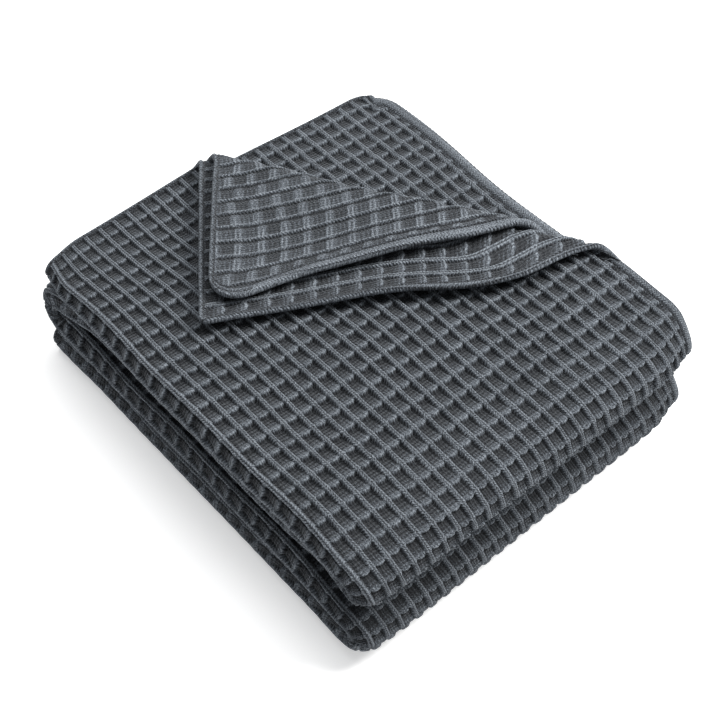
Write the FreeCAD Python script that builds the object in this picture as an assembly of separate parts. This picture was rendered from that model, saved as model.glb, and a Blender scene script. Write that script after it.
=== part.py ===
import FreeCAD, Part
import math
import os

# Folded waffle-knit throw, all sizes in millimetres.
#
# The throw is one knitted panel.  It is folded twice across its ribs, so that four
# plies lie on each other, and then to and fro along its ribs into four quarters, so
# that sixteen plies lie in one neat stack.  One corner of the two top plies is turned
# back over the stack.
#
# +X runs along the ribs towards the two rounded front turns, +Y runs across them
# towards the side where the selvedges lie, and +Z is up.  The origin is the middle
# of the face that the stack rests on.

# ---- driving dimensions -------------------------------------------------------------
stack_length = 370.0        # along X, between the outermost turns
stack_width = 322.0         # along Y, from the side folds to the selvedges
ply = 6.6                   # thickness of one knitted ply as it lies in the stack
band = 12.0                 # width of the plain selvedge and end borders
gap = 0.4                   # air between quarters, so that they open without rubbing
corner_along_end = 178.0    # turned corner: its leg along the end border
corner_along_side = 290.0   # turned corner: its leg along the selvedge
flap_ply = 6.4              # a ply of the turned corner, pressed a little thinner
ply_setback = 18.0          # how far the outer ply of the turned corner falls short
corner_round = 12.0         # rounding of the turned corner's tip

# ---- what follows from them ---------------------------------------------------------
plies_per_quarter = 4
quarter = plies_per_quarter * ply       # thickness of one quarter
pitch = quarter + gap                   # from one quarter's underside to the next
fold_r = quarter / 2                    # outer radius of the fold along the ribs
turn_r = quarter                        # outer radius of a turn across the ribs
x_end = stack_length / 2
y_side = stack_width / 2
x_flat = x_end - turn_r                 # where the flat plies pass into a turn
y_fold = -y_side + fold_r               # where the flat plies pass into the side folds
y_inner = y_side - ply                  # where plies 2 and 3 pass into their own fold
top = 3 * pitch + quarter               # upper face of the stack

# The order of the four plies in a quarter, from its upper face down.  It is turned
# over in every other quarter, because the quarters are folded to and fro.
upright_order = (1, 4, 3, 2)
quarters = (
    ("base", 0, True),
    ("third", 1, False),
    ("second", 2, True),
    ("top", 3, False),
)


def save(shape, node):
    """Write one sub-part, refusing anything but valid closed solids."""
    if not shape.isValid() or not shape.Solids:
        raise ValueError(node)
    shape.exportStep("parts/" + node + ".step")


def block(x0, x1, y0, y1, z0, z1):
    return Part.makeBox(x1 - x0, y1 - y0, z1 - z0, FreeCAD.Vector(x0, y0, z0))


def rod_x(radius, x0, x1, y, z):
    """A cylinder along X."""
    start = FreeCAD.Vector(x0, y, z)
    return Part.makeCylinder(radius, x1 - x0, start, FreeCAD.Vector(1, 0, 0))


def rod_y(radius, y0, y1, x, z):
    """A cylinder along Y."""
    start = FreeCAD.Vector(x, y0, z)
    return Part.makeCylinder(radius, y1 - y0, start, FreeCAD.Vector(0, 1, 0))


# ---- the turned corner's fold line --------------------------------------------------
line_start = FreeCAD.Vector(-x_end, y_side - corner_along_end, top + gap / 2)
line_end = FreeCAD.Vector(-x_end + corner_along_side, y_side, top + gap / 2)
line_dir = (line_end - line_start).normalize()
line_out = FreeCAD.Vector(-line_dir.y, line_dir.x, 0)    # towards the missing corner
line_length = (line_end - line_start).Length
roll_r = 2 * ply


def beyond_line(distance):
    """Everything more than this distance past the fold line, on the corner's side."""
    size = 3 * stack_length
    cutter = Part.makeBox(size, size, size, FreeCAD.Vector(-size / 2, distance, -size / 2))
    angle = math.degrees(math.atan2(line_dir.y, line_dir.x))
    cutter.rotate(FreeCAD.Vector(0, 0, 0), FreeCAD.Vector(0, 0, 1), angle)
    cutter.translate(line_start)
    return cutter


# ---- one quarter --------------------------------------------------------------------
def ply_order(turned_over):
    if turned_over:
        return tuple(reversed(upright_order))
    return upright_order


def ply_floor(z0, turned_over, number):
    """Height of the underside of one numbered ply."""
    place = ply_order(turned_over).index(number)
    return z0 + quarter - (place + 1) * ply


def flat_limits(name):
    """Where the flat plies of a quarter begin and end along X."""
    free_end = name in ("base", "top")
    start = -x_end + band if free_end else -x_flat
    return start, x_flat


def side_folds(z0, x0, x1):
    """The fold of plies 1 and 2 round the fold of plies 4 and 3."""
    middle = z0 + quarter / 2
    keep = block(x0, x1, -y_side, y_fold, z0, z0 + quarter)
    whole = rod_x(fold_r, x0, x1, y_fold, middle)
    core = rod_x(fold_r - ply, x0, x1, y_fold, middle)
    return whole.cut(core).common(keep), core.common(keep)


def middle_fold(z0, turned_over, x0, x1):
    """The fold that joins plies 2 and 3, on the selvedge side."""
    floor = min(ply_floor(z0, turned_over, 2), ply_floor(z0, turned_over, 3))
    keep = block(x0, x1, y_inner, y_side, floor, floor + 2 * ply)
    return rod_x(ply, x0, x1, y_inner, floor + ply).common(keep)


def turn(z0, front, upward):
    """Half of a turn across the ribs: four plies bending through a right angle."""
    side = 1 if front else -1
    x_near, x_far = sorted((side * x_flat, side * x_end))
    centre_z = z0 if upward else z0 + quarter
    bend = rod_y(turn_r, -y_side, y_side, side * x_flat, centre_z)
    keep = block(x_near, x_far, -y_side, y_side, z0, z0 + quarter)
    rounded = rod_x(fold_r, x_near, x_far, y_fold, z0 + quarter / 2)
    section = rounded.fuse(block(x_near, x_far, y_fold, y_side, z0, z0 + quarter))
    return bend.common(keep).common(section)


def trim(shape, name, number):
    """The two top plies stop at the fold line of the turned corner."""
    if name == "top" and number in (1, 4):
        return shape.cut(beyond_line(0))
    return shape


def make_quarter(name, index, turned_over):
    z0 = index * pitch
    x0, x1 = flat_limits(name)
    for number in (1, 2, 3, 4):
        floor = ply_floor(z0, turned_over, number)
        y_stop = y_side - band if number in (1, 4) else y_inner
        flat = block(x0, x1, y_fold, y_stop, floor, floor + ply)
        save(trim(flat, name, number), name + "_ply_" + str(number))
        if number in (1, 4):
            edge = block(x0, x1, y_stop, y_side, floor, floor + ply)
            save(trim(edge, name, number), name + "_selvedge_" + str(number))
    outer, inner = side_folds(z0, x0, x1)
    save(outer, name + "_outer_side_fold")
    save(inner, name + "_inner_side_fold")
    save(middle_fold(z0, turned_over, x0, x1), name + "_middle_fold")


def make_end_borders(name, index, turned_over):
    """The plain border across the free end of each ply."""
    z0 = index * pitch
    section = rod_x(fold_r, -x_end, -x_end + band, y_fold, z0 + quarter / 2)
    section = section.fuse(block(-x_end, -x_end + band, y_fold, y_side, z0, z0 + quarter))
    for number in (1, 2, 3, 4):
        floor = ply_floor(z0, turned_over, number)
        border = block(-x_end, -x_end + band, -y_side, y_side, floor, floor + ply)
        border = border.common(section)
        save(trim(border, name, number), name + "_end_border_" + str(number))


# ---- the turned corner --------------------------------------------------------------
def corner_roll():
    """The two top plies rolling over along the fold line."""
    roll = Part.makeCylinder(roll_r, 1.2 * line_length,
                             line_start - line_dir * (0.1 * line_length), line_dir)
    plies_below = block(-x_end, x_end, -y_side, y_side, top - 2 * ply, top)
    inside = block(-x_end, x_end, -y_side, y_side, top - 2 * ply, top + 2 * ply)
    roll = roll.cut(plies_below.cut(beyond_line(0)))
    return roll.common(inside)


def corner_pieces(number):
    """One ply of the corner, shaped as it lies unfolded and then turned back."""
    if number == 1:
        x_edge, y_edge, ceiling = -x_end, y_side, top
    else:
        x_edge = -x_end + ply_setback * -line_out.x
        y_edge = y_side - ply_setback * line_out.y
        ceiling = top - flap_ply
    low = ceiling - flap_ply
    whole = block(x_edge, x_end, -y_side, y_edge, low, ceiling)
    tip = [e for e in whole.Edges if all(
        abs(v.X - x_edge) < 1e-6 and abs(v.Y - y_edge) < 1e-6 for v in e.Vertexes)]
    whole = whole.makeFillet(corner_round, tip)
    whole = whole.common(beyond_line(roll_r + gap))
    border = block(x_edge, x_edge + band, -y_side, y_edge, low, ceiling)
    selvedge = block(x_edge + band, x_end, y_edge - band, y_edge, low, ceiling)
    field = block(x_edge + band, x_end, -y_side, y_edge - band, low, ceiling)
    pieces = {
        "corner_ply_": whole.common(field),
        "corner_selvedge_": whole.common(selvedge),
        "corner_end_border_": whole.common(border),
    }
    for name, piece in pieces.items():
        piece.rotate(line_start, line_dir, 180)
        save(piece, name + str(number))


# ---- everything ---------------------------------------------------------------------
os.makedirs("parts", exist_ok=True)
for name, index, turned_over in quarters:
    make_quarter(name, index, turned_over)

save(turn(0 * pitch, front=True, upward=False), "base_front_turn")
save(turn(1 * pitch, front=True, upward=True), "third_front_turn")
save(turn(1 * pitch, front=False, upward=False), "third_back_turn")
save(turn(2 * pitch, front=False, upward=True), "second_back_turn")
save(turn(2 * pitch, front=True, upward=False), "second_front_turn")
save(turn(3 * pitch, front=True, upward=True), "top_front_turn")

make_end_borders(*quarters[0])
make_end_borders(*quarters[3])

save(corner_roll(), "corner_roll")
corner_pieces(1)
corner_pieces(4)
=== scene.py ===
"""Folded waffle-knit throw: four folded quarters and a turned-back corner, as swept sheets of knit."""

import math

import bpy
import numpy as np
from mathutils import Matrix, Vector


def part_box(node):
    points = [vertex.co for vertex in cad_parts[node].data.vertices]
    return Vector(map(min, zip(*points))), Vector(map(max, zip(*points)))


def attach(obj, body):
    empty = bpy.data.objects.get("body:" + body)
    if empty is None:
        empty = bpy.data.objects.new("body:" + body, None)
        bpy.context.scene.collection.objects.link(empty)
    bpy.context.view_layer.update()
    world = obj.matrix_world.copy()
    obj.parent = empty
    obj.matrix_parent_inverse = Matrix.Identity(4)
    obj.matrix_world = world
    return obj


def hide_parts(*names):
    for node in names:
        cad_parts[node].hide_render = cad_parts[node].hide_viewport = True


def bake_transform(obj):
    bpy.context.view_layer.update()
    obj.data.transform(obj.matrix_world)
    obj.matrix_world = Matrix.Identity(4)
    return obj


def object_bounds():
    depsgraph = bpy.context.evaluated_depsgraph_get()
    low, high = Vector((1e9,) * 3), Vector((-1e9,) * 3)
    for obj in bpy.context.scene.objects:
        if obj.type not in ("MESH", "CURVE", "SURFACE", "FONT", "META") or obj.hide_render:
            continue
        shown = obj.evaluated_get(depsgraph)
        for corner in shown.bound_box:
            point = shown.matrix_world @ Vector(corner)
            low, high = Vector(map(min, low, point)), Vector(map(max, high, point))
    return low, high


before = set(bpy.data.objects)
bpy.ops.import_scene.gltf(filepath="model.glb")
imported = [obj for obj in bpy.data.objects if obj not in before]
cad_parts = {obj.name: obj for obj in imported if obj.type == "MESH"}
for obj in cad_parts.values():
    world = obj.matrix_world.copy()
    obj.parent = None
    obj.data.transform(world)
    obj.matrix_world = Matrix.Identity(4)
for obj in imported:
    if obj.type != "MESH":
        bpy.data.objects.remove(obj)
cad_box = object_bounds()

MM = 0.001
QUARTERS = ("base", "third", "second", "top")  # from the floor up

# Sizes in millimetres. The outside and the heights are taken from the CAD frame.
PLY = 6.6
GAP = 0.4  # air between quarters
QUARTER = 4 * PLY
HALF_LENGTH = cad_box[1].x / MM
HALF_WIDTH = cad_box[1].y / MM
FLOORS = {q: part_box(q + "_inner_side_fold")[0].z / MM - PLY for q in QUARTERS}
TOP_Z = FLOORS["top"] + QUARTER

# The turns across the ribs, the folds along them, and the heights of the turns' axes.
TURN_R = QUARTER + GAP / 2
TURN_X = HALF_LENGTH - QUARTER
FOLD_R = QUARTER / 2
FOLD_Y = FOLD_R - HALF_WIDTH
INNER_Y = HALF_WIDTH - PLY
UPPER_TURN = FLOORS["top"] - GAP / 2
MIDDLE_TURN = FLOORS["second"] - GAP / 2
LOWER_TURN = FLOORS["third"] - GAP / 2

# The knit: ribs PITCH apart, and a whole number of cells from one end of a run to the other.
PITCH = 12.5
CELLS = 27
SEAM_U = TURN_X + math.pi / 2 * TURN_R
CELL = 2 * SEAM_U / CELLS
RELIEF = 4.3
SIDE_BAND = 7.5
END_BAND = 3.4
FLAP_BAND = 3.6
BAND_FADE = 1.5

# The turned corner: its fold line runs from the back end to the far side.
CORNER_ALONG_END = 178.0
CORNER_ALONG_SIDE = 290.0
LINE_START = np.array([-HALF_LENGTH, HALF_WIDTH - CORNER_ALONG_END])
LINE_END = np.array([CORNER_ALONG_SIDE - HALF_LENGTH, HALF_WIDTH])
LINE_LENGTH = float(np.linalg.norm(LINE_END - LINE_START))
LINE_DIR = (LINE_END - LINE_START) / LINE_LENGTH
LINE_OUT = np.array([-LINE_DIR[1], LINE_DIR[0]])


def smooth(t):
    """A soft step from 0 to 1 as t goes from 0 to 1."""
    t = np.clip(t, 0.0, 1.0)
    return t * t * (3 - 2 * t)


def ease(t, start, span):
    """A soft step that starts at start and is whole at start + span."""
    return smooth((t - start) / span)


def hump(t, centre, spread):
    """A smooth hump, 1 at its centre."""
    return np.exp(-(((t - centre) / spread) ** 2))


def mix(a, b, t):
    return a + (b - a) * t


# ---------------------------------------------------------------- knit

# The waffle's profile. Across the ribs the unit is PITCH, and along them it is CELL.
SCALLOP = 0.13  # how far a cross rib bows between two ribs
CROSS_LEAST, CROSS_MORE = 0.76, 0.16  # height of the cross ribs, and how much it varies
CROSS_STEEP = 0.12  # length of a cross rib's steep side
RIB_CROWN, RIB_FLANK = 0.09, 0.09
RIB_SEAM, RIB_SEAM_WIDTH = 0.16, 0.03
FURROW, FURROW_AT, FURROW_WIDTH = 0.26, 0.20, 0.05

# The reverse's profile, in the same units.
GROOVE_WIDTH = 0.085
LIP, LIP_AT, LIP_WIDTH = 0.30, 0.17, 0.07
STRAND, STRANDS_AT, STRAND_WIDTH = 0.22, (0.70, 0.88), 0.05
BLOCK_LEAST, BLOCK_MORE = 0.10, 0.30
FLAT_LEVEL = 0.60

# A plain border, in millimetres from the edge: a chain along it, and a furrow where the knit starts.
PLAIN_LEVEL = 0.76
CHAIN, CHAIN_AT, CHAIN_WIDTH = 0.18, 1.9, 1.0
CHAIN_LINK = 4.6
BORDER_FURROW, BORDER_FURROW_WIDTH = 0.60, 0.9
EDGE_HALF = 0.25  # half the thickness that is left at a free edge


def wander(u, v, seed):
    """The small unevenness of hand-loose knitting: waves of under a millimetre each way."""
    du = 0.9 * np.sin(v / 31 + seed) + 0.5 * np.sin(v / 13.1 + u / 57 + 2 * seed)
    dv = 0.8 * np.sin(u / 43 + 1.7 * seed) + 0.45 * np.sin(u / 17.3 + v / 71 + seed)
    return u + du, v + dv


def uneven(i, j, seed):
    """A number from 0 to 1 for each cell, the same each time the script runs."""
    x = np.sin(i * 12.9898 + j * 78.233 + seed * 37.719) * 43758.5453
    return x - np.floor(x)


def waffle(u, v, seed):
    """Height of the waffle, 0 in a pocket and 1 on a rib. The ribs run along u, one each PITCH of v."""
    off = np.abs(v / PITCH - np.floor(v / PITCH + 0.5))
    cell = u / CELL + 0.5 - SCALLOP * (2 * off) ** 1.5
    column = np.floor(cell)
    along = cell - column
    tall = CROSS_LEAST + CROSS_MORE * uneven(column, np.floor(v / PITCH), seed)
    drop = 1 - smooth(along / CROSS_STEEP)
    # The cross rib's other side rises slowly out of the pocket, and curls up at its end.
    slope = np.clip((along - 0.16) / 0.74, 0, 1) ** 1.25
    rise = 0.80 * slope + 0.20 * ease(along, 0.80, 0.16)
    furrow = FURROW * hump(off, FURROW_AT, FURROW_WIDTH)
    cross = np.clip(tall * np.maximum(drop, rise) - furrow, 0, 1)
    crown = 0.98 + 0.02 * np.cos(2 * np.pi * cell) - RIB_SEAM * hump(off, 0, RIB_SEAM_WIDTH)
    return mix(crown, cross, ease(off, RIB_CROWN, RIB_FLANK))


def flat_knit(u, v, seed):
    """Height of the reverse: broad rows with a broken groove between them, and blocks of loops on them."""
    row = np.floor(v / PITCH)
    off = v / PITCH - row
    cell = u / CELL + 0.5 * uneven(row, 0, seed)
    column = np.floor(cell)
    along = cell - column
    groove = hump(np.minimum(off, 1 - off), 0, GROOVE_WIDTH)
    groove = groove * (1 - 0.55 * ease(along, 0.62, 0.1))  # shallower over the last third of a cell
    lip = LIP * hump(off, LIP_AT, LIP_WIDTH)
    block = BLOCK_LEAST + BLOCK_MORE * uneven(column, row, seed)
    block = block * smooth(along / 0.08) * (1 - ease(along, 0.55, 0.12))
    block = block * ease(off, 0.22, 0.1) * (1 - ease(off, 0.86, 0.1))
    strand = STRAND * sum(hump(along, place, STRAND_WIDTH) for place in STRANDS_AT)
    return np.clip(FLAT_LEVEL + lip + strand - block, 0, 1) * (1 - groove)


def plainness(edge, band):
    """1 within band of an edge, fading to 0 beyond it."""
    return 1 - ease(edge, band, BAND_FADE)


def bordered(height, edge, chain, band):
    """Turns the knit plain within band of an edge, with a chain along it and a furrow where it starts."""
    plain = PLAIN_LEVEL + CHAIN * hump(edge, CHAIN_AT, CHAIN_WIDTH)
    plain = plain + 0.05 * np.cos(2 * np.pi * chain / CHAIN_LINK)
    plain = plain - BORDER_FURROW * hump(edge, band - 0.4, BORDER_FURROW_WIDTH)
    return mix(height, plain, plainness(edge, band))


def half_thickness(edge, half):
    """Half the sheet's thickness, rounded off at a free edge."""
    t = 1 - np.clip(edge / half, 0, 1)
    return np.maximum(half * np.sqrt(np.clip(1 - t * t, 0, 1)), EDGE_HALF)


# ---------------------------------------------------------------- mesh


def quads(rows, cols, start, flip):
    """The faces of a grid of vertices, as rings of vertex numbers."""
    i, j = np.meshgrid(np.arange(rows - 1), np.arange(cols - 1), indexing="ij")
    a = start + i * cols + j
    ring = [a, a + 1, a + cols + 1, a + cols]
    if flip:
        ring = ring[::-1]
    return np.stack([r.ravel() for r in ring], axis=1)


def rim(front, back, picks, flip):
    """Closes a sheet's edge. front holds the fine vertices, and back the coarse ones, at picks of them."""
    faces = []
    for k in range(len(picks) - 1):
        ring = list(front[picks[k] : picks[k + 1] + 1]) + [back[k + 1], back[k]]
        faces.append(ring[::-1] if flip else ring)
    return faces


def every(count, stride):
    """Each stride-th place of a row of count places, and always the last."""
    return np.array(list(range(0, count - 1, stride)) + [count - 1])


class Builder:
    """Collects closed sheets, each from a fine front grid and a coarser back grid, into one mesh."""

    def __init__(self):
        self.points, self.cloth, self.band = [], [], []
        self.faces, self.loose = [], []
        self.count = 0

    def add(self, front, back, cloth, cloth_back, band, rows, cols, flip):
        """Adds one sheet. Its back keeps only these rows and cols of the grid."""
        coarse = np.ix_(rows, cols)
        start, start_back = self.count, self.count + band.size
        self.points += [front.reshape(-1, 3), back[coarse].reshape(-1, 3)]
        self.cloth += [cloth.reshape(-1, 3), cloth_back[coarse].reshape(-1, 3)]
        self.band += [band.ravel(), band[coarse].ravel()]
        self.faces.append(quads(*band.shape, start, flip))
        self.faces.append(quads(len(rows), len(cols), start_back, not flip))
        a = start + np.arange(band.size).reshape(band.shape)
        b = start_back + np.arange(len(rows) * len(cols)).reshape(len(rows), len(cols))
        self.loose += rim(a[0], b[0], cols, not flip)
        self.loose += rim(a[-1], b[-1], cols, flip)
        self.loose += rim(a[:, 0], b[:, 0], rows, flip)
        self.loose += rim(a[:, -1], b[:, -1], rows, not flip)
        self.count = start_back + b.size

    def piece(self, name, material):
        """Makes the collected sheets one object, with the cloth's own coordinates as attributes."""
        points = np.concatenate(self.points) * MM
        quad = np.concatenate(self.faces)
        loose = [v for face in self.loose for v in face]
        sizes = np.concatenate([np.full(len(quad), 4), [len(f) for f in self.loose]])
        corners = np.concatenate([quad.ravel(), loose])
        starts = np.concatenate([[0], np.cumsum(sizes)[:-1]])
        mesh = bpy.data.meshes.new(name)
        mesh.vertices.add(len(points))
        mesh.vertices.foreach_set("co", points.astype(np.float32).ravel())
        mesh.loops.add(len(corners))
        mesh.loops.foreach_set("vertex_index", corners.astype(np.int32))
        mesh.polygons.add(len(sizes))
        mesh.polygons.foreach_set("loop_start", starts.astype(np.int32))
        mesh.polygons.foreach_set("loop_total", sizes.astype(np.int32))
        mesh.update(calc_edges=True)
        cloth = mesh.attributes.new("cloth", "FLOAT_VECTOR", "POINT")
        cloth.data.foreach_set("vector", np.concatenate(self.cloth).astype(np.float32).ravel())
        band = mesh.attributes.new("band", "FLOAT", "POINT")
        band.data.foreach_set("value", np.concatenate(self.band).astype(np.float32))
        mesh.polygons.foreach_set("use_smooth", np.ones(len(sizes), dtype=bool))
        mesh.materials.append(material)
        mesh.update()
        piece = bpy.data.objects.new(name, mesh)
        bpy.context.scene.collection.objects.link(piece)
        return piece


# ---------------------------------------------------------------- shape at rest

# The slump of a soft stack is a sum of smooth shifts, worked out at the places of the neat stack.
# Places are in millimetres: ease(x, 95, 85) starts at x = 95 and is whole at x = 180.
PINCH = {"top": 0.26, "second": 0.42, "third": 0.40, "base": 0.08}
BACK_THIN = 0.30
BEHIND_DRAW = 9.0
BEHIND_OUT = 7.0
BACK_LOBE = 8.0
BACK_ROUND = {"top": 30.0, "second": 16.0, "third": 16.0, "base": 16.0}
CORNER_PULL = {(1, 1): 11.0, (1, -1): 3.0, (-1, -1): 2.0, (-1, 1): 2.0}  # by the signs of x and y
TOP_NEAR_PULL = 8.0
SIDE_SHIFT = {"top": 0.0, "second": 9.0, "third": 1.5, "base": 2.0}
WAVE = 1.3
SIDE_WAVE = 1.6


def thinned(x, y, z, quarter):
    """Each pack gets thinner at its rounded front, and the top also at its back end."""
    pivot = UPPER_TURN if quarter in ("top", "second") else LOWER_TURN
    near = ease(-y, -60, 200)
    reach = np.clip(z - pivot, -2 * QUARTER, QUARTER)
    dz = -reach * ease(x, 95, 85) * PINCH[quarter] * (0.85 + 0.35 * near)
    if quarter == "top":
        reach = np.clip(z - pivot, 0, QUARTER)
        dz = dz - reach * ease(-x, 70, 110) * BACK_THIN * (0.1 + 0.95 * near)
    return 0 * x, 0 * y, dz


def drawn(x, y, z, quarter):
    """The top's back end is drawn in and its far corner out; the turn under it bulges at its near end."""
    dx, dy = 0 * x, 0 * y
    if quarter == "top":
        dx = BEHIND_DRAW * ease(-x, 40, 145) * ease(y, -30, 170)
        dy = BEHIND_OUT * ease(-x, 10, 140) * ease(y, 50, 90)
    if quarter in ("second", "third"):
        dx = -BACK_LOBE * ease(-x, 140, 40) * ease(-y, 20, 130)
    return dx, dy, 0 * z


def rounded(x, y, z, quarter):
    """The far back corner, rounded in plan."""
    a = np.clip(BACK_ROUND[quarter] - HALF_LENGTH - x, 0, None)
    b = np.clip(BACK_ROUND[quarter] - HALF_WIDTH + y, 0, None)
    cut = 1 - np.maximum(a, b) / np.maximum(np.hypot(a, b), 1e-9)
    return a * cut * (b > 0), -b * cut * (a > 0), 0 * z


def pulled(x, y, z, quarter):
    """Every corner is drawn in a little towards the middle."""
    corner = ease(np.abs(x), 145, 40) * ease(np.abs(y), 118, 43)
    pull = sum(a * (np.sign(x) == sx) * (np.sign(y) == sy) for (sx, sy), a in CORNER_PULL.items())
    pull = pull + TOP_NEAR_PULL * (quarter == "top") * (x < 0) * (y < 0)
    return -np.sign(x) * pull * 0.6 * corner, -np.sign(y) * pull * 0.6 * corner, 0 * z


def waved(x, y, z, quarter):
    """The faces are never quite flat, and the near side isn't straight."""
    calm = (1 - ease(np.abs(x), 150, 35)) * np.clip(z / TOP_Z, 0, 1)
    wave = np.sin(x / 47 + 0.6) * np.sin(y / 41 + 1.1) + 0.6 * np.sin(x / 23 + y / 31)
    dy = SIDE_SHIFT[quarter] * ease(-y, 95, 60) * (1 - ease(np.abs(x), 120, 62))
    dy = dy + SIDE_WAVE * np.sin(x / 38 + FLOORS[quarter]) * ease(-y, 110, 40) * calm
    return 0 * x, dy, WAVE * wave * calm


def settle(p, quarter):
    """Moves points of the neat stack to where they lie in the slumped one."""
    x, y, z = p[..., 0], p[..., 1], p[..., 2]
    shifts = [f(x, y, z, quarter) for f in (thinned, drawn, rounded, pulled, waved)]
    return p + sum(np.stack(shift, axis=-1) for shift in shifts)


# ---------------------------------------------------------------- quarters

# How a quarter lies: which way up, the heights of its turns' axes, where a rib lies on its side roll,
# and how finely it is drawn: points in a cell, points in a rib's pitch, and the third ply's step.
LAYOUT = {
    "top": dict(
        upright=True, front=UPPER_TURN, back=None, phase=4.8, seed=1.0,
        in_cell=15, in_pitch=14, third_ply=1.0,
    ),
    "second": dict(
        upright=False, front=UPPER_TURN, back=MIDDLE_TURN, phase=11.8, seed=2.3,
        in_cell=12, in_pitch=12, third_ply=6.0,
    ),
    "third": dict(
        upright=True, front=LOWER_TURN, back=MIDDLE_TURN, phase=4.8, seed=3.1,
        in_cell=12, in_pitch=12, third_ply=6.0,
    ),
    "base": dict(
        upright=False, front=LOWER_TURN, back=None, phase=11.8, seed=4.7,
        in_cell=12, in_pitch=12, third_ply=6.0,
    ),
}
EDGE_STEPS = [0.0, 0.15, 0.6, 1.4, 2.4, 3.4]
COARSE = 6.0
FAR = 99.0  # stands for the distance to an edge that a point doesn't have
FOLD_BAND_AT = 4.0  # where the plain band on the top's middle fold starts
PLAIN_RIM = 5.0  # the relief grows to its full depth over this distance from an edge
TURN_SWELL = 0.8  # draws a turn's inner plies back from the plane in which its two halves meet


def straight(y0, y1, z, up, step, ply):
    """A straight stretch of the section, as rows of y, height, facing and ply."""
    count = max(2, math.ceil(abs(y1 - y0) / step))
    y = np.linspace(y0, y1, count + 1)[:-1]
    one = np.ones(count)
    return [y, z * one, 0 * one, up * one, ply * one]


def bend(y, z, radius, first, last, side, step, ply):
    """An arc of the section. Its angles run from +Z towards -Y, and side is 1 with the face outward."""
    count = max(4, math.ceil(abs(last - first) * radius / step))
    a = np.linspace(first, last, count + 1)[:-1]
    sy, sz = -np.sin(a), np.cos(a)
    return [y + radius * sy, z + radius * sz, side * sy, side * sz, np.full(count, float(ply))]


def section(fine, third_ply):
    """The folded section from one selvedge to the other: y, height, facing, ply and length."""
    edge = [HALF_WIDTH - e for e in EDGE_STEPS]
    one, last = np.ones(len(edge) - 1), np.ones(len(edge))
    half = np.pi
    parts = [
        [np.array(edge[:-1]), 3.5 * PLY * one, 0 * one, one, one],
        straight(edge[-1], FOLD_Y, 3.5 * PLY, 1, fine, 1),
        bend(FOLD_Y, FOLD_R, 1.5 * PLY, 0, half, 1, fine * 0.75, 1.5),
        straight(FOLD_Y, INNER_Y, 0.5 * PLY, -1, PITCH / 8, 2),
        bend(INNER_Y, PLY, 0.5 * PLY, half, 2 * half, 1, 1.0, 2.5),
        straight(INNER_Y, 0.0, 1.5 * PLY, 1, third_ply, 3),
        straight(0.0, FOLD_Y, 1.5 * PLY, 1, COARSE, 3),
        bend(FOLD_Y, FOLD_R, 0.5 * PLY, half, 0, -1, 1.5, 3.5),
        straight(FOLD_Y, edge[-1], 2.5 * PLY, -1, COARSE, 4),
        [np.array(edge[::-1]), 2.5 * PLY * last, 0 * last, -last, 4 * last],
    ]
    y, z, ny, nz, ply = (np.concatenate([part[k] for part in parts]) for k in range(5))
    steps = np.hypot(np.diff(y), np.diff(z))
    return y, z, ny, nz, ply, np.concatenate([[0], np.cumsum(steps)])


def columns(step, free_back):
    """Material positions along the ribs; a free end gets closer columns for its rounded edge."""
    u = np.arange(round(2 * SEAM_U / step) + 1) * step - SEAM_U
    if free_back:
        edge = np.array([e - HALF_LENGTH for e in EDGE_STEPS])
        u = np.concatenate([edge, u[u > edge[-1] + 0.3]])
    return u


def swept(p, quarter):
    """Bends the flat section's points round the turns at its two ends. p is material u, y and height."""
    front, back = LAYOUT[quarter]["front"], LAYOUT[quarter]["back"]
    u, y, z = p[..., 0], p[..., 1], p[..., 2] + FLOORS[quarter]
    x = np.clip(u, None if back is None else -TURN_X, TURN_X)
    for pivot, over, sign in ((front, u - TURN_X, 1), (back, -u - TURN_X, -1)):
        if pivot is None:
            continue
        a = np.clip(over, 0, None) / TURN_R
        rho = z - pivot
        inside = (1 - ease(np.abs(rho), 20, 4)) * np.sign(rho)
        x = x + sign * np.abs(rho) * np.sin(a)
        z = pivot + rho * np.cos(a) + TURN_SWELL * np.sin(a) * inside
    return np.stack([x, y, z], axis=-1)


def rib_origin(length, y, quarter):
    """Length along the section at which one rib lies, just past the start of the side roll."""
    first = int(np.argmax(np.abs(y - FOLD_Y) < 1e-6))
    return length[first] + LAYOUT[quarter]["phase"]


def cut_y(x):
    """How far the top's two upper plies reach before they turn back along the fold line."""
    slope = (LINE_END[1] - LINE_START[1]) / (LINE_END[0] - LINE_START[0])
    return np.minimum(LINE_START[1] + (x - LINE_START[0]) * slope, HALF_WIDTH)


def shortened(u, y, v, ply):
    """Ends the top's two upper plies at the fold line, where the turned corner goes on."""
    reach = (cut_y(u) - FOLD_Y) / (HALF_WIDTH - FOLD_Y)
    short = np.where((ply == 1) | (ply == 4), FOLD_Y + (y - FOLD_Y) * reach, y)
    v = v + np.where(ply == 1, y - short, 0) - np.where(ply == 4, y - short, 0)
    return short, v


def with_fold_band(height, band, edge, u, v, ply, length):
    """The plain band along the top's middle fold, which shows where the corner is turned back."""
    fold = length[ply == 2.5]
    past = v - 0.5 * (fold[0] + fold[-1])
    past = np.where(past > 0, past, FAR) - FOLD_BAND_AT
    height = bordered(height, np.maximum(past, 0), u, SIDE_BAND)
    band = np.maximum(band, plainness(past, SIDE_BAND))
    return height, band, np.minimum(edge, np.clip(past, FOLD_BAND_AT, FAR))


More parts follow.
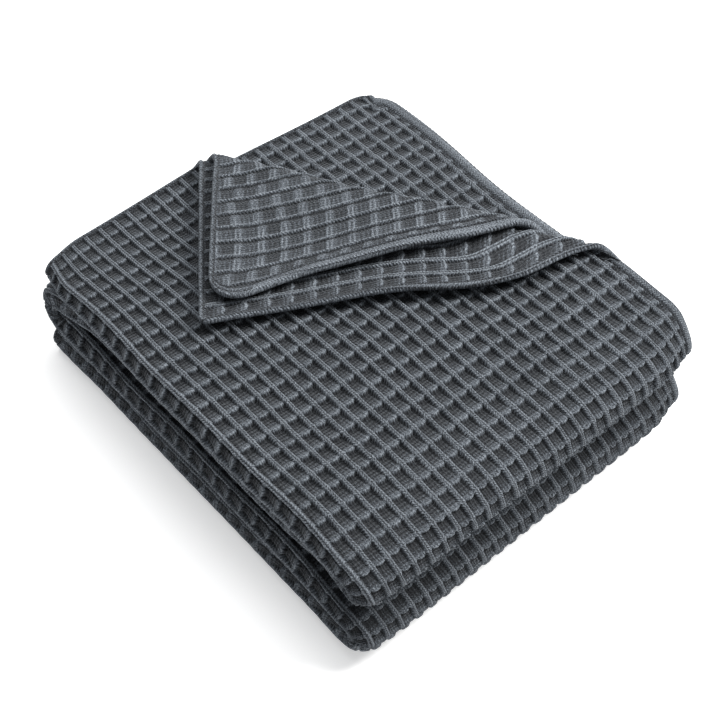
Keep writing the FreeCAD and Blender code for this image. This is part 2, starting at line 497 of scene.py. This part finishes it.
def quarter_sheet(builder, quarter):
    """One quarter: four plies folded over each other, with the waffle on the outer face."""
    lay = LAYOUT[quarter]
    top = quarter == "top"
    free_back = lay["back"] is None
    y, z, ny, nz, ply, length = section(PITCH / lay["in_pitch"], lay["third_ply"])
    origin = rib_origin(length, y, quarter)
    if not lay["upright"]:
        z, nz = QUARTER - z, -nz
    u = columns(CELL / lay["in_cell"], free_back)
    U, Y = np.meshgrid(u, y, indexing="ij")
    Z, NY, NZ, V = (np.broadcast_to(a, U.shape) for a in (z, ny, nz, length))
    if top:
        Y, V = shortened(U, Y, V, ply)
    selvedge = np.where((ply == 1) | (ply == 4), HALF_WIDTH - Y, FAR)
    end = U + HALF_LENGTH if free_back else np.full(U.shape, FAR)
    edge = np.minimum(selvedge, end)
    knit_u, knit_v = wander(U if lay["upright"] else -U, V - origin, lay["seed"])
    height = waffle(knit_u, knit_v, lay["seed"])
    height = bordered(height, selvedge, U, SIDE_BAND)
    height = bordered(height, end, V, END_BAND)
    band = np.maximum(plainness(selvedge, SIDE_BAND), plainness(end, END_BAND))
    if top:
        height, band, edge = with_fold_band(height, band, edge, U, V, ply, length)
    half = half_thickness(edge, PLY / 2)
    outer = half - RELIEF * (1 - height) * np.clip(edge / PLAIN_RIM, 0, 1)

    def place(offset):
        flat = np.stack([U, Y + NY * offset, Z + NZ * offset], axis=-1)
        return settle(swept(flat, quarter), quarter)

    cloth = np.stack([knit_u, knit_v, height], axis=-1)
    rows, cols = every(len(u), 8), every(len(y), 4)
    builder.add(place(outer), place(-half), cloth, cloth, band, rows, cols, not lay["upright"])
    for pivot, sign in ((lay["front"], 1), (lay["back"], -1)):
        if pivot is not None:
            lining(builder, quarter, pivot, sign, origin)


LINING_DEPTH = 2.0
LINING_RELIEF = 1.6
LINING_PROUD = 0.1  # keeps the lining clear of the plies' rims, which end in the same plane
LINING_SHORT = 2.5


def lining(builder, quarter, pivot, sign, origin):
    """The inner face of a turn, which shows only once the quarters are opened out."""
    u = np.linspace(TURN_X - 2, TURN_X + TURN_R - LINING_SHORT, 24) * sign
    y = np.linspace(FOLD_Y + 1, HALF_WIDTH - 4, 230)
    U, Y = np.meshgrid(u, y, indexing="ij")
    side = 1 if FLOORS[quarter] > pivot - 1 else -1
    height = waffle(U, Y + origin, LAYOUT[quarter]["seed"])
    right = np.stack([U, Y, pivot - side * (LINING_PROUD + LINING_RELIEF * height)], axis=-1)
    wrong = np.stack([U, Y, np.full(U.shape, pivot + side * LINING_DEPTH)], axis=-1)
    cloth = np.stack([U, Y + origin, height], axis=-1)
    right, wrong = settle(right, quarter), settle(wrong, quarter)
    rows, cols = every(len(u), 4), every(len(y), 6)
    builder.add(right, wrong, cloth, cloth, 0 * U, rows, cols, (side > 0) == (sign > 0))


# ---------------------------------------------------------------- turned corner

# Each ply rolls round the fold line at its radius, then comes down to its rest height over a distance
# fall. The roll is tucked in at its middle, and the ply slides on by sag towards the near side.
# stretch and shear set how far its edges reach; set, cut and round shape them.
FLAPS = {
    "flap_lower": dict(
        ply=1, start=TOP_Z - PLY / 2, radius=4.9, rest=TOP_Z + 4.2, fall=70,
        stretch=1.14, shear=0.14, tuck=6.5, sag=19, side_set=0, side_cut=0, end_cut=0, round=7,
        side_band=FLAP_BAND, back_band=FLAP_BAND, inner=waffle, outer=waffle, lift=0.5,
    ),
    "flap_upper": dict(
        ply=4, start=TOP_Z - 1.5 * PLY, radius=11.5, rest=TOP_Z + 11.4, fall=80,
        stretch=1.28, shear=0.12, tuck=8, sag=7, side_set=2, side_cut=11, end_cut=9, round=28,
        side_band=SIDE_BAND, back_band=END_BAND, inner=None, outer=flat_knit, lift=1.0,
    ),
}
FLAP_PLY = 6.2
FLAP_STEP = 1.0
# Roughly the corner's longest run from its fold line to its selvedge: it sets how many points lie along it.
FLAP_SPAN = 165.0
FLAP_EDGE_STEPS = np.array([3.0, 2.0, 1.2, 0.6, 0.2, 0.0])
INNER_RELIEF, OUTER_RELIEF = 3.0, 2.6
HIDDEN_HEIGHT = 0.8  # the height, for its shade only, of a face that is left smooth
TUCK_AT, TUCK_SPREAD = 160.0, 60.0
SAG_AT, SAG_SPREAD, SAG_FALL = 258.0, 58.0, 26.0
EDGE_LIFT = 4.0
TIP_REACH = 1.6  # how far along the back edge the tip's rounding is looked for, in its radii


def roll_profile(d, t, cut):
    """The flap's middle line, square to the fold: outwards round the roll, then back over the top."""
    radius, start = cut["radius"], cut["start"]
    turn = np.pi * radius
    a = np.clip(d, 0, turn) / radius
    over = np.clip(d - turn, 0, None) * cut["stretch"]
    tuck = cut["tuck"] * hump(t, TUCK_AT, TUCK_SPREAD)
    sag = cut["sag"] * hump(t, SAG_AT, SAG_SPREAD)
    n = (radius - tuck) * np.sin(a) - over - sag * smooth(over / SAG_FALL)
    drop = start + 2 * radius - cut["rest"]
    z = start + radius * (1 - np.cos(a)) - drop * smooth(over / cut["fall"])
    return n, z, over, -np.sin(a), np.cos(a)


def side_inset(s, cut):
    """How far the side edge falls short of the selvedge; s is 0 at the tip and 1 at the far end."""
    return cut["side_set"] + cut["side_cut"] * smooth(s / 0.25) + cut["end_cut"] * ease(s, 0.65, 0.22)


def rounding(x, radius):
    """How far a rounded tip falls short, x from its end."""
    into = np.clip(radius - x, 0, None)
    return radius - np.sqrt(np.maximum(radius**2 - into**2, 0))


def flap_grid(cut):
    """Material positions of the corner, from its fold line to its selvedge, and distances to its edges."""
    edges = np.array(EDGE_STEPS)
    legs = LINE_END - LINE_START
    reach = legs[0] * (1 - side_inset(1.0, cut) / legs[1])
    inner = np.arange(edges[-1] + FLAP_STEP, reach - 4, FLAP_STEP)
    back = np.concatenate([edges, inner])
    x = LINE_START[0] + back
    high = HALF_WIDTH - side_inset(back / legs[0], cut) - rounding(back, cut["round"])
    low = cut_y(x)
    w = np.linspace(0, 1, int(FLAP_SPAN / FLAP_STEP) + 1)
    w = np.concatenate([w[:-4], 1 - FLAP_EDGE_STEPS / FLAP_SPAN])
    X = np.broadcast_to(x[:, None], (len(x), len(w)))
    Y = low[:, None] + (high - low)[:, None] * w[None, :]
    side = high[:, None] - Y
    return X, Y, side, tip_distance(X - LINE_START[0], Y, side, cut)


def tip_distance(back, y, side, cut):
    """Distance to the back edge, which runs on round the tip."""
    radius = cut["round"]
    tip = radius - np.hypot(np.clip(radius - back, 0, None), np.clip(radius - side, 0, None))
    near_tip = (back < radius) & (y > HALF_WIDTH - cut["side_set"] - TIP_REACH * radius)
    round_tip = np.clip(np.minimum(back, np.maximum(tip, side)), 0, None)
    return np.where(near_tip, round_tip, back)


def flap_sheet(builder, cut, v_at_selvedge):
    """One ply of the turned corner, with relief on the faces that show."""
    X, Y, side, back = flap_grid(cut)
    rel = np.stack([X - LINE_START[0], Y - LINE_START[1]], axis=-1)
    d, t = rel @ LINE_OUT, rel @ LINE_DIR
    n, z, over, nn, nz = roll_profile(d, t, cut)
    t = t - cut["shear"] * over
    edge = np.minimum(side, back)
    seed = LAYOUT["top"]["seed"]
    knit_u, knit_v = wander(X, v_at_selvedge + (HALF_WIDTH - Y), seed)
    half = half_thickness(edge, FLAP_PLY / 2)
    faces = []
    for knit, depth, sign in ((cut["inner"], INNER_RELIEF, 1), (cut["outer"], OUTER_RELIEF, -1)):
        if knit is None:
            height, off = np.full(X.shape, HIDDEN_HEIGHT), sign * half
        else:
            height = bordered(knit(knit_u, knit_v, seed), side, X, cut["side_band"])
            height = bordered(height, back, Y, cut["back_band"])
            off = sign * (half - depth * (1 - height) * np.clip(edge / PLAIN_RIM, 0, 1))
        place = LINE_START + t[..., None] * LINE_DIR + (n + nn * off)[..., None] * LINE_OUT
        flat = np.concatenate([place, (z + nz * off)[..., None]], axis=-1)
        cloth = np.stack([knit_u, knit_v, height], axis=-1)
        faces.append((drape(flat, t, over, edge, cut["lift"]), cloth))
    band = np.maximum(plainness(side, cut["side_band"]), plainness(back, cut["back_band"]))
    rows, cols = np.arange(X.shape[0]), np.arange(X.shape[1])
    (inner, cloth_in), (outer, cloth_out) = faces
    builder.add(inner, outer, cloth_in, cloth_out, band, rows, cols, flip=False)


def drape(p, t, over, edge, lift):
    """Lays a flap ply on the settled top, with soft waves, and raises its free edges."""
    under = p.copy()
    under[..., 2] = TOP_Z
    shift = settle(under, "top") - under
    shift[..., 2] = shift[..., 2] * ease(p[..., 2], TOP_Z - 14, 14)
    wave = 1.4 * np.sin(t / 29 + 0.5) * smooth(over / 60)
    wave = wave + 0.8 * np.sin(t / 13 + over / 19) * smooth(over / 90)
    raised = EDGE_LIFT * (1 - smooth(edge / 30)) * smooth(over / 25)
    shift[..., 2] += lift * (wave + 0.8) + raised
    return p + shift


# ---------------------------------------------------------------- materials

# The yarn: stitch lengths in millimetres along the cloth, and tones as linear colour, for the marl and for
# the painted light and shade of the relief.
STITCH = 2.3
POCKET_STITCH = 2.1
STRANDS_PER_CELL = 5
MARL_AND_PAINTED_SHADE = ((0.17, (0.005, 0.006, 0.008)), (0.55, (0.068, 0.079, 0.094)), (0.97, (0.225, 0.252, 0.285)))
BUMP_DEPTH = 0.0013
PAINTED_SHADE_MID_HEIGHT = 0.64  # painted highlight on cloth above this height, and painted shade on cloth below it, in the pockets


class Nodes:
    """Short calls for building a node tree."""

    def __init__(self, material):
        material.use_nodes = True
        self.tree = material.node_tree
        self.shader = self.tree.nodes["Principled BSDF"]

    def put(self, kind, **settings):
        node = self.tree.nodes.new(kind)
        for key, value in settings.items():
            setattr(node, key, value)
        return node

    def feed(self, socket, value):
        if isinstance(value, bpy.types.NodeSocket):
            self.tree.links.new(value, socket)
        else:
            socket.default_value = value

    def math(self, operation, a, b=0.0, c=0.0):
        node = self.put("ShaderNodeMath", operation=operation)
        for socket, value in zip(node.inputs, (a, b, c)):
            self.feed(socket, value)
        return node.outputs[0]

    def scaled(self, a, factor):
        return self.math("MULTIPLY", a, factor)

    def sine(self, a, wavelength):
        return self.math("SINE", self.scaled(a, 2 * math.pi / wavelength))

    def noise(self, vector, scale, detail):
        node = self.put("ShaderNodeTexNoise")
        self.feed(node.inputs["Vector"], vector)
        node.inputs["Scale"].default_value = scale
        node.inputs["Detail"].default_value = detail
        return node.outputs["Fac"]

    def ramp(self, factor, stops):
        node = self.put("ShaderNodeValToRGB")
        self.feed(node.inputs["Fac"], factor)
        elements = node.color_ramp.elements
        while len(elements) < len(stops):
            elements.new(0.5)
        for element, (place, colour) in zip(elements, stops):
            element.position = place
            element.color = (*colour, 1)
        return node.outputs["Color"]


def yarn_relief(n, flat, u, v, off, band):
    """Chains along the ribs and the plain bands, and strands across the pockets."""
    rib = n.math("SUBTRACT", 1.0, n.scaled(n.math("SUBTRACT", off, 2.2), 0.8))
    rib.node.use_clamp = True
    rib = n.math("MAXIMUM", rib, band)
    drift = n.scaled(n.noise(flat, 0.16, 2.0), 2.5)
    lean = n.scaled(n.math("PINGPONG", v, STITCH * 0.75), 1.1)
    chain = n.sine(n.math("ADD", n.math("ADD", u, lean), drift), STITCH)
    chain = n.scaled(chain, 0.7)
    strand = n.sine(n.math("ADD", u, n.scaled(drift, 0.7)), CELL / STRANDS_PER_CELL)
    stitch = n.sine(n.math("ADD", v, drift), POCKET_STITCH)
    pocket = n.math("ADD", n.scaled(strand, 0.8), n.scaled(stitch, 0.35))
    return n.math("ADD", n.math("MULTIPLY", n.math("SUBTRACT", chain, pocket), rib), pocket)


def marl_and_painted_shade(n, flat, height, off, yarn):
    """The marl: patches of dark and pale fibre, with a painted highlight on high places, painted shade in
    the pockets, and a painted shade line in the groove down a rib's middle.
    """
    heather = n.math("SUBTRACT", n.noise(flat, 1.1, 3.0), 0.5)
    tone = n.math("SUBTRACT", n.noise(flat, 0.05, 2.0), 0.5)
    shade = n.math("ADD", n.scaled(heather, 2.1), n.scaled(yarn, 0.13))
    # painted light and shade: paler on the high relief, darker down in the pockets
    lift = n.scaled(n.math("SUBTRACT", height, PAINTED_SHADE_MID_HEIGHT), 0.95)
    shade = n.math("ADD", n.math("ADD", shade, lift), n.scaled(tone, 0.25))
    # painted shade in the groove down the middle of each rib
    painted_groove_shade = n.scaled(n.math("SUBTRACT", 0.8, off), 0.55)
    painted_groove_shade.node.use_clamp = True
    return n.math("ADD", n.math("SUBTRACT", shade, painted_groove_shade), 0.5)


def knit_material():
    """Heathered acrylic and cotton yarn."""
    material = bpy.data.materials.new("waffle_knit_yarn")
    n = Nodes(material)
    cloth = n.put("ShaderNodeAttribute", attribute_name="cloth").outputs["Vector"]
    band = n.put("ShaderNodeAttribute", attribute_name="band").outputs["Fac"]
    split = n.put("ShaderNodeSeparateXYZ")
    n.feed(split.inputs[0], cloth)
    u, v, height = split.outputs
    joined = n.put("ShaderNodeCombineXYZ")
    n.feed(joined.inputs[0], u)
    n.feed(joined.inputs[1], v)
    flat = joined.outputs[0]
    off = n.math("PINGPONG", v, PITCH / 2)
    yarn = yarn_relief(n, flat, u, v, off, band)
    fuzz = n.noise(flat, 2.2, 3.0)
    bump = n.put("ShaderNodeBump")
    bump.inputs["Strength"].default_value = 1.0
    bump.inputs["Distance"].default_value = BUMP_DEPTH
    n.feed(bump.inputs["Height"], n.math("ADD", n.scaled(yarn, 0.5), n.scaled(fuzz, 1.1)))
    n.feed(n.shader.inputs["Normal"], bump.outputs["Normal"])
    # base colour: the marl, with painted highlight on the high relief and painted shade in the pockets and
    # rib grooves
    n.feed(n.shader.inputs["Base Color"], n.ramp(marl_and_painted_shade(n, flat, height, off, yarn), MARL_AND_PAINTED_SHADE))
    n.feed(n.shader.inputs["Roughness"], n.math("ADD", n.scaled(fuzz, 0.12), 0.80))
    n.shader.inputs["Specular IOR Level"].default_value = 0.22
    n.shader.inputs["Sheen Weight"].default_value = 0.18
    n.shader.inputs["Sheen Roughness"].default_value = 0.55
    n.shader.inputs["Sheen Tint"].default_value = (0.75, 0.80, 0.86, 1)
    return material


def floor_material():
    material = bpy.data.materials.new("pale_floor")
    n = Nodes(material)
    n.shader.inputs["Base Color"].default_value = (0.86, 0.86, 0.86, 1)
    n.shader.inputs["Roughness"].default_value = 0.9
    n.shader.inputs["Emission Color"].default_value = (1, 1, 1, 1)
    n.shader.inputs["Emission Strength"].default_value = 0.42
    return material


# ---------------------------------------------------------------- stage

# The camera's angles and distance in metres. It and the lights look at AIM.
AZIMUTH = math.radians(48.8)
ELEVATION = math.radians(50.1)
DISTANCE = 1.035
AIM = Vector((0, 0, 0.05))
FLOOR_HALF = 6.0


def add_camera():
    data = bpy.data.cameras.new("camera")
    data.lens = 70
    data.sensor_width = 36
    data.shift_x = -0.0046
    data.shift_y = -0.0261
    data.clip_start = 0.05
    camera = bpy.data.objects.new("camera", data)
    level = math.cos(ELEVATION)
    out = Vector((math.sin(AZIMUTH) * level, -math.cos(AZIMUTH) * level, math.sin(ELEVATION)))
    camera.location = AIM + out * DISTANCE
    camera.rotation_euler = (-out).to_track_quat("-Z", "Y").to_euler()
    bpy.context.scene.collection.objects.link(camera)
    bpy.context.scene.camera = camera


def add_light(name, place, size, power, colour):
    data = bpy.data.lights.new(name, "AREA")
    data.size = size
    data.energy = power
    data.color = colour
    light = bpy.data.objects.new(name, data)
    light.location = place
    light.rotation_euler = (AIM - Vector(place)).to_track_quat("-Z", "Y").to_euler()
    bpy.context.scene.collection.objects.link(light)


def add_stage():
    mesh = bpy.data.meshes.new("floor")
    half = FLOOR_HALF
    corners = [(-half, -half, 0), (half, -half, 0), (half, half, 0), (-half, half, 0)]
    mesh.from_pydata(corners, [], [(0, 1, 2, 3)])
    mesh.materials.append(floor_material())
    floor = bpy.data.objects.new("floor", mesh)
    bpy.context.scene.collection.objects.link(floor)
    world = bpy.data.worlds.new("studio")
    world.use_nodes = True
    background = world.node_tree.nodes["Background"]
    background.inputs["Color"].default_value = (0.97, 0.985, 1.0, 1)
    background.inputs["Strength"].default_value = 0.36
    bpy.context.scene.world = world
    add_light("key", (0.62, 1.15, 1.5), 0.8, 60, (1.0, 0.99, 0.97))
    add_light("top", (-0.45, 0.25, 2.1), 1.2, 30, (1.0, 1.0, 1.0))
    bpy.context.scene.view_settings.view_transform = "Standard"


# ---------------------------------------------------------------- assembly


def add_runs(knit):
    """The four quarters, from the floor up. Returns the uppermost piece."""
    below = None
    for quarter in QUARTERS:
        builder = Builder()
        quarter_sheet(builder, quarter)
        run = builder.piece(quarter + "_run", knit)
        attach(run, quarter + "_quarter")
        own = [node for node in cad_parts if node.startswith(quarter + "_")]
        if quarter == "top":
            own.append("corner_roll")
        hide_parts(*own)
        below = run
    return below


def blend_along_fold(flap):
    """Bakes the flap's placement into its mesh."""
    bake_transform(flap)


def add_flaps(knit, below):
    """The two plies of the turned corner, lower one first."""
    top = LAYOUT["top"]
    y, *_, length = section(PITCH / top["in_pitch"], top["third_ply"])
    v_at_selvedge = -rib_origin(length, y, "top")
    for name, cut in FLAPS.items():
        builder = Builder()
        flap_sheet(builder, cut, v_at_selvedge)
        flap = builder.piece(name, knit)
        blend_along_fold(flap)
        layer = cut["ply"]
        own = [f"corner_ply_{layer}", f"corner_selvedge_{layer}", f"corner_end_border_{layer}"]
        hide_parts(*own)


def main():
    add_camera()
    add_stage()
    knit = knit_material()
    add_flaps(knit, add_runs(knit))


main()
